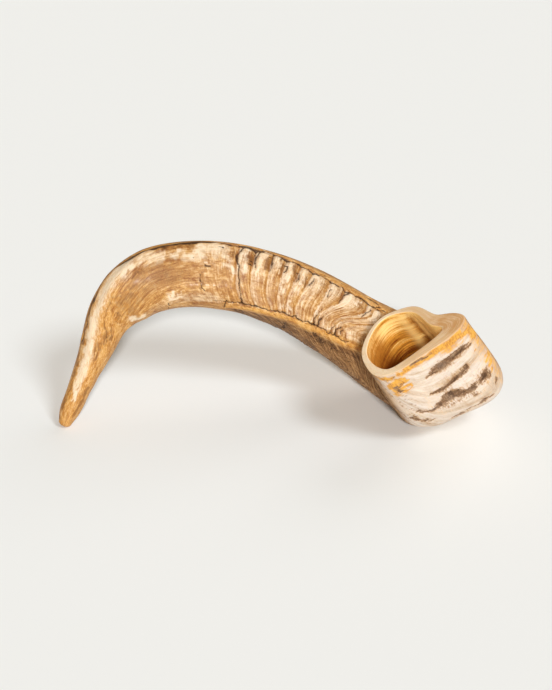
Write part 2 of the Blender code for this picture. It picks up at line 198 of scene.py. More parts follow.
# strokes on the skin: (distance from the tip, place round the horn, half width in mm)
strokes = {
    "keelLine": [
        [(62, 11, .5), (69, 11.2, .8)], [(84, 11.5, .8), (92, 11.75, .7)],
        [(116, .35, 1), (122, .7, 1.3), (128, .9, 1.5), (134, 1.25, 1.6), (140, 1.4, 1.6), (146, 1.58, 1.3),
         (151, 1.72, 1.1), (157, 1.73, 1.1), (163, 1.65, 1), (169, 1.82, .6), (175, 1.7, .5)],
        [(71, 11.34, .6), (79, 11.6, .7), (88, 11.7, .8), (92, 12, .8), (98, 11.8, .4), (110, 12, .3),
         (120, 12.1, .3), (124, 12.5, .3), (128, 13.3, .5), (134, 13.75, .6), (141, 13.7, .5), (147, 13.75, .6),
         (154, 13.85, .75), (160, 13.75, .55), (166, 13.5, .25), (173, 13.5, .2), (178, 13.85, .4),
         (186, 13.95, .3), (190, 13.92, .8), (194, 13.88, 1.1), (198, 14.02, 1.3), (201, 13.94, 1),
         (204, 13.75, .3), (207, 13.75, .7), (209, 13.82, .8), (213, 13.75, .3), (216, 13.98, .7), (219, 14.1, .85),
         (222, 14.1, .5), (225, 13.95, .35), (228, 14.04, 1.1), (230, 14.16, .8), (234, 14.1, .45), (240, 14.3, .6),
         (246, 14.1, .45), (254, 14.22, .55), (259, 14.2, .6)],
        [(262, 2.04, .3), (264, 2.2, .4), (267, 2.27, .6), (272, 2.04, .45), (277, 1.87, .5), (282, 1.87, .6),
         (287, 1.98, .6), (292, 1.8, .5), (297, 1.4, .35)], [(294, 1.92, .4), (300, 1.6, .4), (306, 1.5, .3)],
        [(245, 1.85, .35), (250, 1.6, .35)], [(261, 1.5, .35), (267, 1.2, .4)], [(271, 1.4, .3), (277, 1.2, .35)],
        [(284, 1.02, .4), (288, 1.12, .8), (295, 1.05, .7)],
    ],
    "hooks": [
        [(190, 1.95, .4), (188, 2.34, .5), (186, 2.7, .7), (187, 3.12, .55), (188, 3.48, .45), (189.5, 4.2, .4),
         (190, 4.5, .5), (193, 5.16, .4), (196, 5.7, .5), (197.5, 5.85, .7)],
        [(201, 1.95, .4), (199, 2.46, .6), (198, 2.75, .7), (198, 3, .6), (199, 3.2, .4)],
        [(209, 1.88, .4), (209, 2.4, .5), (209.5, 2.7, .6), (209, 3.05, .4)], [(215, 2.04, .4), (214, 2.28, .4)],
        [(218, 2.58, .4), (220, 2.72, .6), (219, 3.02, .4)],
        [(227, 2.64, .4), (229, 2.76, .7), (229, 3, .6), (228, 3.2, .4)],
        [(240, 2.7, .4), (239, 3, .5), (238, 3.24, .5)], [(254, 2.76, .4), (253, 3.12, .5), (253, 3.3, .5)],
        [(270, 2.1, .4), (266, 2.52, .45), (264, 2.94, .45), (263, 3.24, .4)],
        [(288, 2.4, .6), (285, 2.82, .5), (283, 3.36, .4)],
        [(253, 4.5, .35), (250, 5.04, .4), (250, 5.64, .45), (251, 5.94, .7)],
        [(255, 4.92, .35), (253, 5.4, .6), (254, 5.88, .7)], [(267, 5.16, .35), (265, 5.64, .5), (266, 5.94, .5)],
        [(272, 5.16, .45), (269, 5.64, .6), (270, 6, .7)], [(274, 5.4, .4), (272, 5.6, .4), (273, 5.8, .35)],
    ],
    "bandLine": [
        [(174, 5.82, .3), (180, 5.82, .4), (184, 5.76, .7), (190, 5.82, .5), (197, 5.8, .6), (204, 5.88, .45),
         (212, 5.88, .4), (219, 5.93, .45), (225, 5.88, .55), (233, 5.88, .4), (242, 5.94, .5), (246, 5.88, .6),
         (251, 5.94, .65), (259, 5.94, .45), (264, 6, .5), (270, 6.06, .6), (276, 6.12, .45), (282, 6.12, .4)],
        [(184, 5.76, .6), (183, 6, .7), (183, 6.36, .5)],
    ],
    "dashes": [
        [(164, 3.42, .4), (166, 3.48, .6), (169, 3.48, .5)],
        [(162, 3.9, .3), (162, 4.2, .35), (163, 4.56, .35), (164, 4.8, .6), (166, 4.98, .4), (168, 5.1, .3)],
        [(155, 3, .35), (158, 3, .35)], [(174, 2.28, .4), (177, 2.34, .35)], [(142, 3.18, .25), (144, 3.2, .25)],
        [(141, 1.95, .8), (142, 2.04, .7)], [(137, 5.58, .35), (134, 6.4, .5)], [(108, 6, .5), (109, 6, .5)],
        [(71, 2.7, .7), (72, 2.76, .7)], [(206, 2.34, .45), (207.5, 2.34, .45)], [(193, 2.7, .3), (196, 2.76, .3)],
        [(192, 2.94, .3), (196, 2.96, .3)], [(193, 3.14, .3), (198, 3.18, .3)], [(196, 2.34, .3), (198, 2.46, .3)],
    ],
    "brown": [
        [(60, 1.74, 1.2), (65, 1.8, 1.6), (72, 2.46, 1.4), (83, 2.34, 1), (88, 2.34, 1)],
        [(90, 2.3, .7), (97, 2.46, .9), (104, 2.7, .8), (111, 2.9, .8), (118, 2.95, .5), (125, 2.94, .4)],
        [(104, 3.18, 1.2), (108, 3.36, 1.4), (112, 3.24, 1.6)], [(46, 2.64, .8), (50, 2.52, .8)],
        [(54, 1.5, .8), (63, 1.4, .6)], [(179, 4.26, .5), (180, 4.62, .5)],
        [(8, 11, 1.2), (20, 11, 1.2), (34, 11.1, 1.2), (60, 11, 1.6), (79, 11.45, 2), (98, 11.95, 1.6)],
        [(6, 1.9, 1), (18, 2.1, 1), (32, 2.4, .9)], [(66, 2.9, .8), (74, 3.1, 1.2), (84, 3, .8)],
        [(1, 10.8, 1.4), (3, .5, 1)], [(88, 3.4, 1.2), (96, 3.6, 1.3)],
        [(162, 3.5, .8), (162, 4.3, .9), (165, 4.9, .8)], [(183, 4.8, .4), (184, 5.34, .4)],
        [(182, 2.3, 1.6), (185, 2.6, 1.4)], [(147, 2.2, 1), (158, 2.1, 1)], [(141, 1.95, 1.8), (143, 2.2, 1.2)],
        [(194, 2.6, 1.6), (196, 3.1, 1.2)], [(206, 2.5, 1.2), (207, 3.1, 1)], [(216, 2.4, 1.3), (217, 2.9, 1)],
        [(225, 2.5, 1.2), (226, 3, .9)], [(234.5, 3, 1), (235, 3.6, .9)],
    ],
    "cream": [
        [(18, 12.06, 1), (26, 11.9, 1.3), (42, 11.9, 2), (51, 11.92, 2.6), (59, 12, 2.9), (68, 12.12, 2.9),
         (79, 12.72, 2.9), (87, 13.2, 2.7), (93, 13.44, 2.6), (100, 13.5, 3), (105, 13.5, 3.6), (109, 13.44, 4),
         (113, 13.1, 3.8), (118, 13.3, 3.1), (122, 13.3, 2.7)], [(119, 2.1, 3.4), (116, 2.16, 2.4)],
        [(127, 2.34, 2.8), (131, 2.46, 3.1)], [(136, 2.52, 3), (140, 2.52, 2.4)],
        [(146, 2.88, 1.9), (148, 2.64, 1.4)], [(154, 2.88, 1.9), (158, 2.82, 1.9)],
        [(163, 2.7, 2.8), (163, 2.4, 2.5)], [(170, 2.4, 3), (174, 2.58, 3.7)], [(179, 2.88, 2.3), (182, 3.12, 1.4)],
        [(180, 3.54, 1.3), (184, 3.84, 1.4)], [(139, 5.28, .9), (147, 5.4, .8)],
        [(99, 4.62, 1.6), (110, 5.28, 1.2)], [(165, 3.36, .6), (166, 3.3, .6)],
        [(191, 2.28, 1.5), (190, 2.76, 1.6), (191, 3.3, 1.5), (192, 3.8, .8)], [(193, 2.1, 1.5), (191, 2.4, 1.5)],
        [(204, 2.16, 1.6), (202, 2.58, 1.6), (201, 3.06, 1.5), (202, 3.6, .8)],
        [(212, 2.1, 1.6), (212, 2.58, 1.5), (213, 3.1, .9)], [(221, 2.52, 1.5), (221.5, 2.8, 1.2)],
        [(233, 2.52, 1.2), (232, 2.94, 1.2), (230, 3.6, .9), (228, 4.2, .7)],
        [(222, 3.18, .8), (220, 3.9, .7), (220, 4.5, .5)], [(222, 5.16, .7), (222, 5.7, .7)],
        [(229, 5.04, .7), (229, 5.64, .7)], [(243, 2.7, 1.2), (242, 3.2, 1)],
        [(271, 3.12, .8), (272, 2.76, .9), (276, 2.5, .9), (281, 2.3, .9)], [(294, 2.16, .9), (291, 3.18, .9)],
        [(248, 5.7, .5), (248, 5.04, .5), (251, 4.5, .5)], [(263, 5.28, .6), (262, 5.76, .5)],
    ],
    "under": [
        [(245, 6.48, .4), (250, 6.44, .5), (256, 6.6, .6), (262, 6.78, .7), (264, 6.9, .5)],
        [(254, 6.48, .4), (260, 6.66, .5)], [(259, 6.42, .7), (264, 6.66, 1.1), (270, 6.9, .9)],
        [(267, 6.42, .5), (273, 6.66, .7), (277, 6.84, .5)], [(273, 6.54, .4), (279, 6.72, .5)],
        [(191, 6.66, .7), (196, 6.54, .8), (200, 6.84, .7), (207, 7.14, .5)], [(219, 6.84, .7), (224, 6.84, .8)],
        [(230, 6.66, .9), (234, 6.84, .8)], [(235, 6.84, .7), (236, 7.08, .7)], [(285, 6.54, .4), (294, 6.9, .5)],
    ],
    "rough": [
        [(439, 11.22, .8), (440, 10.98, 1.5), (440, 10.68, 2.6), (438, 10.38, 2.7), (436, 10.08, 2.1),
         (436, 9.84, 1.2), (437, 9.6, .6)],
        [(424, 10.98, .8), (423, 10.68, 1.3), (422, 10.44, 1.9), (421, 10.14, 2.3), (420, 9.9, 2.1),
         (421, 9.66, 1)], [(410, 11.36, 1), (411, 11.1, 1.9), (412, 10.9, 1.2)],
        [(411, 10.7, 1.2), (410, 10.38, 1.9), (411, 10.14, 2.2), (411, 9.9, 2.6), (411, 9.66, 2.2), (410, 9.3, 1.3),
         (411, 8.94, .9), (414, 8.64, .6), (418, 8.46, .4)],
        [(413, 8.22, .4), (408, 8.46, .6), (404, 8.7, 1), (402, 8.94, .5)],
        [(398, 10.9, .5), (398, 10.5, .6), (397, 10.26, .6), (393, 10.02, .4), (394, 9.6, .4)],
        [(456, 9.5, .6), (455, 9.84, .7), (454, 10.05, .7)], [(404, 11.4, .5), (402, 11.16, .5)],
        [(406, 10.5, .7), (407, 10.66, .7)], [(453, 8.58, .7), (452.5, 8.6, .7)],
        [(442, 8.58, .6), (437, 8.52, .8)],
    ],
    "core": [
        [(440, 11.1, .5), (439.5, 10.9, .8), (439, 10.6, .7), (437, 10.3, .4)],
        [(423.5, 10.6, .5), (421, 10.3, .7), (420.5, 10, .5)], [(411.5, 10.3, .6), (412, 10, .8), (412, 9.7, .6)],
        [(411, 11.2, .4), (411.5, 11, .5)],
    ],
    "bunch": [
        [(443, 7.3, .35), (428, 7.5, .35), (417, 7.68, .4), (413, 8.04, .4), (408, 8.34, .35), (404, 8.7, .3)],
        [(452, 7.6, .35), (443, 7.8, .35), (433, 7.92, .35), (425, 8.16, .4), (416, 8.4, .35), (412, 8.7, .35)],
        [(456, 7.7, .4), (455, 8.1, .5), (451, 8.28, .6), (449, 8.6, .5)],
        [(432, 7.3, .4), (426, 7.44, .4), (418, 7.62, .4), (409, 8.04, .45), (402, 8.4, .45), (397, 8.82, .4)],
        [(433, 8.46, .5), (430, 8.72, .45)], [(429, 8.42, .5), (426, 8.74, .45)], [(423, 8.5, .45), (420, 8.8, .4)],
        [(437, 7.95, .35), (430, 8.1, .35), (421, 8.3, .3)], [(420, 7.4, .4), (410, 7.7, .4), (402, 8.05, .4)],
    ],
    "mouthAmber": [
        [(455, 8.94, 2.2), (454, 9.48, 2.4), (455, 10, 2.2), (453, 10.4, 2.4), (452, 10.8, 3.2), (452, 11.1, 3.8)],
        [(454, 11.4, 3.9), (449, 11.5, 3.4), (440, 11.55, 2.2), (432, 11.5, 1.4)],
        [(418, 11.6, 1.2), (412, 11.54, 1), (406, 11.46, .7)],
        [(454, 8.04, 1.7), (452, 8.46, 2.6), (447, 8.66, 2.9), (438, 8.6, 2.9), (442, 8.44, 2.2)],
    ],
}

# how much wider than its half width each kind of stroke spreads, and how ragged its edge is in mm
plainBrush = (1.0, .5)
brushes = {
    "cream": (1.35, 1.5),
    "brown": (1.25, 1.6),
    "rough": (1.42, 1.3),
    "roughWide": (1.7, .5),
    "hookWide": (2.2, .5),
    "core": (1.2, 1.6),
    "mouthAmber": (1.15, 2.0),
    "under": (1.2, .9),
    "keelLine": (1.5, .7),
}
brushReach = 14  # millimetres past a stroke's ends
latticeSize = (64, 64, 8)


def cubicBends(gaps, values):
    # second derivatives of a cubic curve that runs out straight at its ends
    count = len(values)
    system = np.eye(count)
    right = np.zeros_like(values)
    for i in range(1, count - 1):
        system[i, i - 1:i + 2] = gaps[i - 1], 2 * (gaps[i - 1] + gaps[i]), gaps[i]
        right[i] = 6 * ((values[i + 1] - values[i]) / gaps[i] - (values[i] - values[i - 1]) / gaps[i - 1])
    return np.linalg.solve(system, right)


def spline(knots, values, at):
    knots = np.asarray(knots, float)
    values = np.asarray(values, float).reshape(len(knots), -1)
    bends = cubicBends(np.diff(knots), values)
    at = np.atleast_1d(np.asarray(at, float))
    k = np.clip(np.searchsorted(knots, at, side="right") - 1, 0, len(knots) - 2)
    gap = (knots[k + 1] - knots[k])[:, None]
    x = (knots[k + 1] - at)[:, None] / gap
    y = 1 - x
    curved = ((x ** 3 - x) * bends[k] + (y ** 3 - y) * bends[k + 1]) * gap ** 2 / 6
    return x * values[k] + y * values[k + 1] + curved


def loopPoints(controls, u):
    # closed cubic curves through the points of each outline: places and outward directions
    unit = np.eye(placeCount)
    inverse = np.linalg.inv(4 * unit + np.roll(unit, 1, 0) + np.roll(unit, -1, 0))
    pull = 6 * (np.roll(controls, -1, 1) - 2 * controls + np.roll(controls, 1, 1))
    bends = np.einsum("ij,njk->nik", inverse, pull)
    low = np.floor(u).astype(int) % placeCount
    high = (low + 1) % placeCount
    y = (u - np.floor(u))[None, :, None]
    x = 1 - y
    a, b = controls[:, low], controls[:, high]
    pts = x * a + y * b + ((x ** 3 - x) * bends[:, low] + (y ** 3 - y) * bends[:, high]) / 6
    run = b - a + (-(3 * x ** 2 - 1) * bends[:, low] + (3 * y ** 2 - 1) * bends[:, high]) / 6
    out = np.stack([run[..., 1], -run[..., 0]], -1)
    return pts, out / np.linalg.norm(out, axis=-1)[..., None]


def turned(outline, degrees):
    a = np.radians(degrees)
    p = np.array(outline)
    return np.stack([p[:, 0] * np.cos(a) - p[:, 1] * np.sin(a), p[:, 0] * np.sin(a) + p[:, 1] * np.cos(a)], 1)


def bump(x, middle, width):
    return np.exp(-((x - middle) / width) ** 2)


def smooth(x, low, high):
    t = np.clip((x - low) / (high - low), 0, 1)
    return t * t * (3 - 2 * t)


def zone(x, name):
    # 1 inside a named zone, 0 outside it
    rise, full, fade, end = zones[name]
    return smooth(x, rise, full) * (1 - smooth(x, fade, end))


def apart(u, middle):
    # distance round the horn, either way
    return (u - middle + placeCount / 2) % placeCount - placeCount / 2


def softNoise(seed, x, y=0, z=0):
    # smooth random values from -1 to 1 on a lattice that repeats
    table = np.random.default_rng(seed).random(latticeSize) * 2 - 1
    parts = []
    for value, size in zip((x, y, z), latticeSize):
        low = np.floor(value)
        t = value - low
        parts.append((low.astype(int) % size, (low.astype(int) + 1) % size, t * t * (3 - 2 * t)))
    (x0, x1, tx), (y0, y1, ty), (z0, z1, tz) = parts
    total = 0
    for xi, wx in ((x0, 1 - tx), (x1, tx)):
        for yi, wy in ((y0, 1 - ty), (y1, ty)):
            for zi, wz in ((z0, 1 - tz), (z1, tz)):
                total = total + table[xi, yi, zi] * wx * wy * wz
    return total


centres = np.array([s[0] for s in stations])
marks = np.concatenate([[0], np.cumsum(np.linalg.norm(np.diff(centres, axis=0), axis=1))])
length = marks[-1]
stationControls = np.array([turned(outlines[s[3]], s[4]) for s in stations]).reshape(len(stations), -1)


def framesAt(s):
    # the middle line's points, half widths and directions: onward, to the crest and to the side face
    c = spline(marks, centres, s)
    axis = spline(marks, centres, s + .5) - spline(marks, centres, s - .5)
    axis /= np.linalg.norm(axis, axis=1)[:, None]
    crest = spline(marks, [q[2] for q in stations], s)
    crest -= axis * np.sum(crest * axis, 1)[:, None]
    crest /= np.linalg.norm(crest, axis=1)[:, None]
    half = spline(marks, [q[1] for q in stations], s)[:, 0]
    return c, half, axis, crest, np.cross(axis, crest)


def controlsAt(s):
    flat = np.array([np.interp(s, marks, column) for column in stationControls.T])
    return flat.T.reshape(len(s), placeCount, 2)


def growthAt(s, u):
    # the distance along the first keel that a growth line through each point has
    starts, lower = np.array(slantBefore + [r[:2] for r in growthRidges] + slantAfter).T
    fine = np.linspace(-5, 475, 1200)
    lower = np.interp(fine, starts, lower)
    ahead = spline(*np.array(underAhead).T, u)[:, 0]
    reach = .25 + .75 * smooth(fine, 60, 215)
    g = np.empty((len(s), len(u)))
    for j, place in enumerate(u):
        onward = np.clip((place - 2.6) / 3.3, 0, 1) ** 1.7 * (1 - smooth(place, *zones["slantBack"][2:]))
        backward = zone(place, "slantBack")
        at = fine + np.where(lower > 0, lower * onward, lower * backward) + ahead[j] * reach
        g[:, j] = np.interp(s, np.maximum.accumulate(at), fine)
    return g


def bandCentre(s):
    return 6.16 + .04 * np.sin(s * .21) + .05 * smooth(s, 240, 290)


def brush(paths, s, u, perUnit, grow, ragged):
    # strokes as a soft field with ragged edges: 1 along the middle, .5 at about the half width
    field = np.zeros_like(s)
    s = s + ragged * (softNoise(91, s * .22, u * 1.6) * 1.3 + softNoise(92, s * .6, u * 4.5))
    u = u + ragged * (softNoise(93, s * .25, u * 1.8) * 1.3 + softNoise(94, s * .7, u * 5.0)) / 7
    for path in paths:
        p = np.array(path, float)
        near = np.abs(s[:, 0] - np.clip(s[:, 0], p[:, 0].min(), p[:, 0].max())) < brushReach
        if not near.any():
            continue
        ss, uu, mm = s[near], u[near], perUnit[near]
        best = np.zeros_like(ss)
        for (s0, u0, w0), (s1, u1, w1) in zip(p[:-1], p[1:]):
            x, y = ss - s0, apart(uu, u0) * mm
            dx, dy = s1 - s0, (u1 - u0) * mm
            t = np.clip((x * dx + y * dy) / np.maximum(dx ** 2 + dy ** 2, 1e-6), 0, 1)
            away = np.hypot(x - t * dx, y - t * dy) / ((w0 + (w1 - w0) * t) * grow)
            best = np.maximum(best, np.exp(-.7 * away ** 2))
        field[near] = np.maximum(field[near], best)
    return field


def paintFields(s, u, g, perUnit):
    # soft fields over the outer skin that both the relief and the colours read
    f = {}
    side = zone(u, "sideFace")
    wander = .8 * softNoise(5, u * 1.7, s * .03)
    crease = np.zeros_like(s)
    share = np.ones_like(s)
    starts = [r[0] for r in growthRidges] + [ridges["lastEnd"]]
    for n, (start, _, top, middle, low) in enumerate(growthRidges):
        dark = np.interp(u, [2.2, 3.0, 3.5, 4.8, 5.4, 5.9], [top, top, middle, middle, low, low])
        away = abs(g - start - wander)
        crease = np.maximum(crease, dark * np.exp(-(away / (.75 + .5 * (1 - dark))) ** 1.5))
        inRidge = (g >= start + wander) & (g < starts[n + 1] + wander)
        share = np.where(inRidge, (g - start - wander) / (starts[n + 1] - start), share)
    f["crease"] = crease * side
    f["share"] = np.clip(share, 0, 1)
    f["side"] = side
    for name, paths in strokes.items():
        f[name] = brush(paths, s, u, perUnit, *brushes.get(name, plainBrush))
    f["roughWide"] = brush(strokes["rough"], s, u, perUnit, *brushes["roughWide"])
    f["hookWide"] = brush(strokes["hooks"] + strokes["keelLine"], s, u, perUnit, *brushes["hookWide"])
    f["band"] = zone(s, "band") * np.exp(-abs((u - bandCentre(s)) / .24) ** 2.6)
    f["strip"] = zone(s, "strip") * bump(apart(u, 1.45), 0, .55)
    edge = u + .62 * smooth(s, 365, 400)
    f["below"] = smooth(u, 6.30, 6.52) * (1 - smooth(edge, 8.0, 8.7)) * smooth(s, 184, 196)
    f["curl"] = smooth(edge, 8.1, 8.8) * (1 - smooth(u, 11.4, 12.0)) * smooth(s, 345, 385)
    return f


def relief(s, u, g, f):
    fade = 1 - smooth(s, length - 9, length - 1.5)
    side = f.side
    out = -ridges["creaseDepth"] * np.maximum(f.crease * .75, f.hooks)
    roll = np.sin(np.pi * f.share ** .62) * side * zone(s, "ridgedRelief")
    out += ridges["swell"] * roll * (.25 + .75 * bump(u, 2.5, .9) + .25 * bump(u, 5.6, .6))
    lines = softNoise(11, g * .42, u * .6) * .6 + softNoise(12, g * .95, u * 1.1) * .4
    out += ridges["growthLine"] * lines * side * smooth(s, 120, 195)
    out += ridges["sideWave"] * softNoise(13, s * .12, u * 2.6) * side
    out += f.strip * (1 + .5 * softNoise(21, s * .13)) * ridges["keelRise"]
    out -= ridges["keelGroove"] * f.keelLine
    out += f.band * ridges["bandRise"] * (1 + .3 * softNoise(22, s * .15))
    out -= ridges["keelGroove"] * f.bandLine + ridges["dashDepth"] * f.dashes
    streaks = softNoise(31, g * .30, u * 1.2) * .6 + softNoise(32, g * .75, u * 2) * .4
    out += f.below * ridges["streakRise"] * streaks * smooth(s, 190, 240) - ridges["underDepth"] * f.under
    wave = softNoise(41, g * .085, u * .35)
    out += f.curl * (ridges["curlWave"] * wave + ridges["curlLine"] * softNoise(42, g * .5, u * .5))
    out -= ridges["roughDepth"] * f.rough * (1 + .5 * softNoise(43, u * 9, s * .35))
    out -= ridges["bunchDepth"] * f.bunch
    turn = u * 2 * np.pi / placeCount
    out += ridges["lumps"] * softNoise(51, s * .045, 3 + np.cos(turn) * 1.6, 3 + np.sin(turn) * 1.6)
    return (out - ridges["sinkAll"]) * fade


def outside(s, u):
    # the outer surface for every s and u, with the growth coordinate and the painted fields
    c, half, _, crest, out = framesAt(s)
    pts, normals = loopPoints(controlsAt(s), u)
    ss, uu = np.meshgrid(s, u, indexing="ij")
    g = growthAt(s, u)
    steps = np.linalg.norm(np.gradient(pts, axis=1), axis=-1) * half[:, None]
    perUnit = np.clip(steps / np.gradient(u)[None], 3, 24)
    fields = SimpleNamespace(**paintFields(ss, uu, g, perUnit))
    lift = relief(ss, uu, g, fields)
    flat = pts * half[:, None, None] + normals * lift[..., None]
    return c[:, None] + flat[..., :1] * crest[:, None] + flat[..., 1:] * out[:, None], g, fields


def hollow(s, u):
    # the hollow's surface: a thinner horn deep inside, and the rim's own outline at the mouth
    c, half, _, crest, out = framesAt(s)
    pts, _ = loopPoints(controlsAt(s), u)
    share = smooth(s, length - hornShape["wallChange"], length)[:, None, None]
    depth = (length - s) / (length - hornShape["hollowEnd"])
    close = np.sqrt(np.maximum(0, 1 - depth ** 8))[:, None, None]
    deep = pts * (half - hornShape["wallDeep"])[:, None, None] * close
    own, ownNormals = loopPoints(np.array([hornShape["boreAtMouth"]]), u)
    own = own * half[:, None, None]
    flat = deep * (1 - share) + own * share
    ss, uu = np.meshgrid(s, u, indexing="ij")
    rings = .22 * softNoise(71, ss * .35, uu * .4) + .12 * softNoise(72, ss * .9, uu * .7)
    fold = bump(uu, hornShape["foldPlace"], hornShape["foldWidth"])
    groove = bump(uu, hornShape["groovePlace"], hornShape["grooveWidth"])
    rings += hornShape["foldHeight"] * (fold - groove)
    rings *= smooth(length - ss, 1.0, 8.0) * close[..., 0]
    flat = flat + ownNormals * rings[..., None]
    return c[:, None] + flat[..., :1] * crest[:, None] + flat[..., 1:] * out[:, None]


def spread(low, high, step):
    # even places from low up to, but not including, high
    return np.linspace(low, high, max(2, int(round((high - low) / step)) + 1))[:-1]


# places round the horn, closer together at the two keels
fineU = np.linspace(0, placeCount, 4001)
weight = 1 + hornShape["keelCrowding"] * (bump(fineU, 2.0, .45) + bump(fineU, 6.05, .40))
gathered = np.concatenate([[0], np.cumsum((weight[1:] + weight[:-1]) / 2)])
aroundCount = hornShape["aroundCount"]
around = np.interp(np.linspace(0, gathered[-1], aroundCount + 1), gathered, fineU)
around[-1] = placeCount

# rows along the horn, outside and then back down the hollow
lastRow = length - hornShape["lastRow"]
boreTurn = length - hornShape["boreNear"]
nearStep, farStep = hornShape["boreSteps"]
outerSteps = hornShape["outerSteps"]
outerSteps = outerSteps + [(outerSteps[-1][1], lastRow, hornShape["mouthStep"])]
along = np.concatenate([spread(*steps) for steps in outerSteps] + [[lastRow]])
boreAlong = np.concatenate([[lastRow], spread(length - hornShape["firstBoreRow"], boreTurn, -nearStep)[1:],
                            spread(boreTurn, hornShape["boreFar"], -farStep), hornShape["boreEndRows"]])

outer, growth, fields = outside(along, around)
rimC, rimHalf, rimAxis, rimCrest, rimOut = framesAt(np.array([length]))
edgePts, edgeOut = loopPoints(controlsAt(np.array([length])), around)
borePts, boreOut = loopPoints(np.array([hornShape["boreAtMouth"]]), around)


def onRim(flat):
    return rimC + flat[:, :1] * rimCrest + flat[:, 1:] * rimOut


rounding = hornShape["rimRound"]
outerEdge = edgePts[0] * rimHalf - edgeOut[0] * rounding
innerEdge = borePts[0] * rimHalf + boreOut[0] * rounding
rimRows = [onRim(outerEdge + edgeOut[0] * rounding * .7) - rimAxis * rounding * .3]
rimRows += [onRim(outerEdge * (1 - t) + innerEdge * t) for t in np.linspace(0, 1, hornShape["rimRowCount"])]
rimRows += [onRim(innerEdge - boreOut[0] * rounding * .7) - rimAxis * rounding * .3]
inner = hollow(boreAlong, around)
tipC, _, tipAxis, _, _ = framesAt(np.array([0.0]))
domeRows = []
for angle in hornShape["tipAngles"]:
    a = np.radians(angle)
    domeRows.append(tipC + (outer[0] - tipC) * np.sin(a) - tipAxis * hornShape["tipRound"] * np.cos(a))
domeRows[0] = np.repeat(tipC - tipAxis * hornShape["tipRound"], aroundCount + 1, 0)
apex = np.repeat(framesAt(np.array([hornShape["hollowEnd"]]))[0], aroundCount + 1, 0)
rows = np.concatenate([np.array(domeRows), outer, np.array(rimRows), inner, apex[None]])
rowCount = len(rows)
domeCount, outerCount, rimCount = len(domeRows), len(outer), len(rimRows)
rows -= np.array(hornShape["toFrame"])
within = hornShape["insideBox"]
rows = np.clip(rows, np.array(cadLow) * metre + (within, within, 0), np.array(cadHigh) * metre - within)
rows[:, -1] = rows[:, 0]

# what each vertex knows of itself: distance along, place round, inside or out
alongAll = np.concatenate([np.full(domeCount, -1.0), along, np.full(rimCount, length), boreAlong,
                           [hornShape["hollowEnd"]]])
ss, uu = np.meshgrid(alongAll, around, indexing="ij")
gg = np.concatenate([np.full((domeCount, aroundCount + 1), -1.0), growth,
                     np.full((rowCount - domeCount - outerCount, aroundCount + 1), length)])
insideRow = np.zeros(rowCount)
insideRow[domeCount + outerCount + rimCount - 1:] = 1
rimRow = np.zeros(rowCount)
rimRow[domeCount + outerCount:domeCount + outerCount + rimCount] = 1
print("horn laid out:", rowCount, "rows of", aroundCount)


